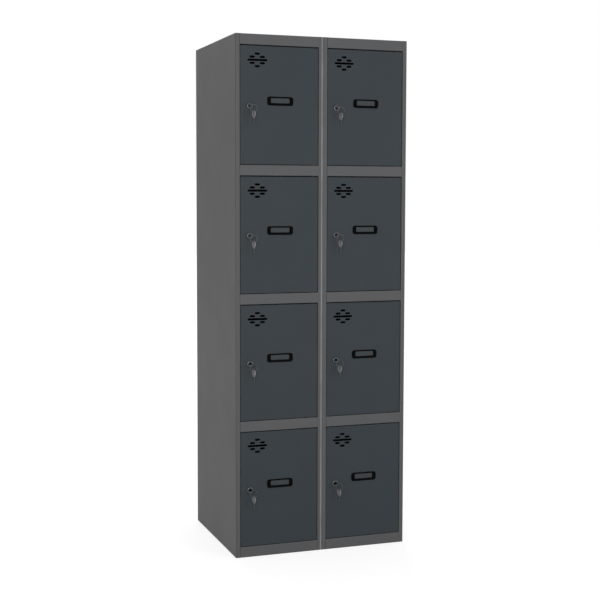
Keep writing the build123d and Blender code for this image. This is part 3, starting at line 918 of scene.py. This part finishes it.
def key_blade():
    """The section is scaled between a lower and an upper edge; V cuts lower the upper edge."""
    along = np.linspace(blade_start, blade_end - blade_tip, blade_steps)[:, None]
    cuts = np.maximum(0.0, np.array(cut_depths) - np.abs(along - np.array(cut_places)))
    tip = blade_end - along
    upper = np.minimum(blade_half - cuts.max(1, keepdims=True), tip)
    lower = -np.minimum(blade_half, tip)
    across = (upper + lower) / 2 + (upper - lower) / 2 * blade_section[:, 0]
    thick = np.broadcast_to(blade_thin * blade_section[:, 1], across.shape)
    return loft(np.stack([np.broadcast_to(along, across.shape), across, thick], -1), caps=True)


def laid(surfaces, axes, origin):
    """Turn key lengths into room directions: each axis is where the key's x, y or z points."""
    turn, shift = np.array(axes, float), np.array(origin)
    return [(points @ turn + shift, quads) for points, quads in surfaces]


key_surfaces = [key_bow(), key_blade()]
flat_key = laid(key_surfaces, [(0, 1, 0), (-1, 0, 0), (0, 0, 1)], (0, bow_radius, 0))
spare_turn = radians(14.0)
cos_turn, sin_turn = np.cos(spare_turn), np.sin(spare_turn)
hung_axes = [(0, 0, -1), (-sin_turn, cos_turn, 0), (cos_turn, sin_turn, 0)]
hung_bow, hung_blade = laid(key_surfaces, hung_axes, (0, 0, blade_end))
for side, tier in doors:
    lock, spare = f"{side}_lock_{tier}", f"{side}_spare_key_{tier}"
    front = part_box(f"{side}_door_{tier}_lock_core")[0].y
    spot = lock_spots[side, tier].copy()
    spot.y = front
    # the key in the lock takes the dark lock finish as painted shade; its twin below is paler
    make_piece(f"{lock}_key", flat_key, spot, lock_nickel, lock, "key_steel")
    spot = middle(f"{side}_door_{tier}_spare_key")
    spot.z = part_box(f"{side}_door_{tier}_spare_key")[0].z
    # the hanging bow is paler than the key in the lock: a painted highlight
    make_piece(
        f"{spare}_bow", [hung_bow], spot, key_nickel_painted_highlight, spare, "key_steel",
        f"{side}_door_{tier}_spare_key",
    )
    make_piece(f"{spare}_blade", [hung_blade], spot, dull_nickel, spare, "key_steel")
print("keys:", 2 * len(doors), "with blades of", len(key_blade()[0]), "points")

# %% [markdown]
# ## Split ring
# The ring that joins the two keys is two turns of flat wire lying side by side. A torus would lose
# the step where one turn crosses to the other. Here a small rounded section is carried twice round
# a circle, and its sideways place slides from one turn to the next in the middle of the path.

# %% Split ring
ring_radius = 12.0
ring_reach = 12.9
ring_level = 0.42
ring_start = radians(200)
ring_steps = 193
crossing = pi / 3
wire_round = 0.22
wire_push = (0.5, 0.17)
coarse = 4


def split_ring():
    """Angle runs through two turns; y slides from -level to level by a smooth step half way."""
    path = np.linspace(0.0, 4 * pi, ring_steps)[:, None]
    slide = np.clip((path - 2 * pi) / crossing + 0.5, 0.0, 1.0)
    level = ring_level * (2 * slide * slide * (3 - 2 * slide) - 1)
    wire = pushed_circle(wire_round, *wire_push)[::coarse]
    reach = ring_radius + wire[:, 0]
    turn = path + ring_start
    across, upward = reach * np.cos(turn), reach * np.sin(turn)
    return loft(np.stack([across, level + wire[:, 1] + 0 * across, upward], -1), caps=True)


ring_surfaces = [split_ring()]
for side, tier in doors:
    spare = f"{side}_spare_key_{tier}"
    spot = middle(f"{side}_door_{tier}_spare_key")
    spot.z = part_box(f"{side}_door_{tier}_spare_key")[1].z - ring_reach * mm
    make_piece(f"{spare}_ring", ring_surfaces, spot, dull_nickel, spare, "key_steel")
print("split rings:", len(doors))

# %% [markdown]
# ## Rivets on the back
# The back sheets are held by blind rivets: a flat dome with a pit where the mandrel snapped off,
# and a bulged tail inside. One profile is turned once, and the same points are repeated at all
# places by adding an array of centres, which needs no loop over rivets.

# %% Rivets
rivet_x = np.array([-292.5, -7.5, 7.5, 292.5])
rivet_foot, rivet_pitch, rivet_rows = 60.0, 318.0, 6
rivet_z = rivet_foot + rivet_pitch * np.arange(rivet_rows)
rivet_profile = [
    (0.0, 0.45), (0.9, 0.5), (1.05, 0.9), (1.4, 1.0), (2.2, 0.85), (2.9, 0.45), (3.2, 0.05),
    (3.2, 0.0), (1.6, 0.0), (1.6, -1.6), (2.3, -1.9), (2.4, -2.6), (1.6, -3.1), (0.0, -3.2),
]


def rivets():
    """All rivets at once: the turned points plus every centre, and faces offset by the count."""
    points, quads = loft(turned(rivet_profile)[:, ::coarse])
    centres = np.stack([*np.meshgrid(rivet_x, [0.0], rivet_z, indexing="ij")], -1).reshape(-1, 1, 3)
    offsets = len(points) * np.arange(len(centres))[:, None, None]
    return (points + centres).reshape(-1, 3), (quads + offsets).reshape(-1, 4)


back_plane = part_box("left_column_back")[1].y
make_piece(
    "rivet_heads", [rivets()], (0, back_plane, 0), zinc, "carcass", "plain_steel", "back_rivets"
)
print("rivets:", rivet_x.size * rivet_z.size)
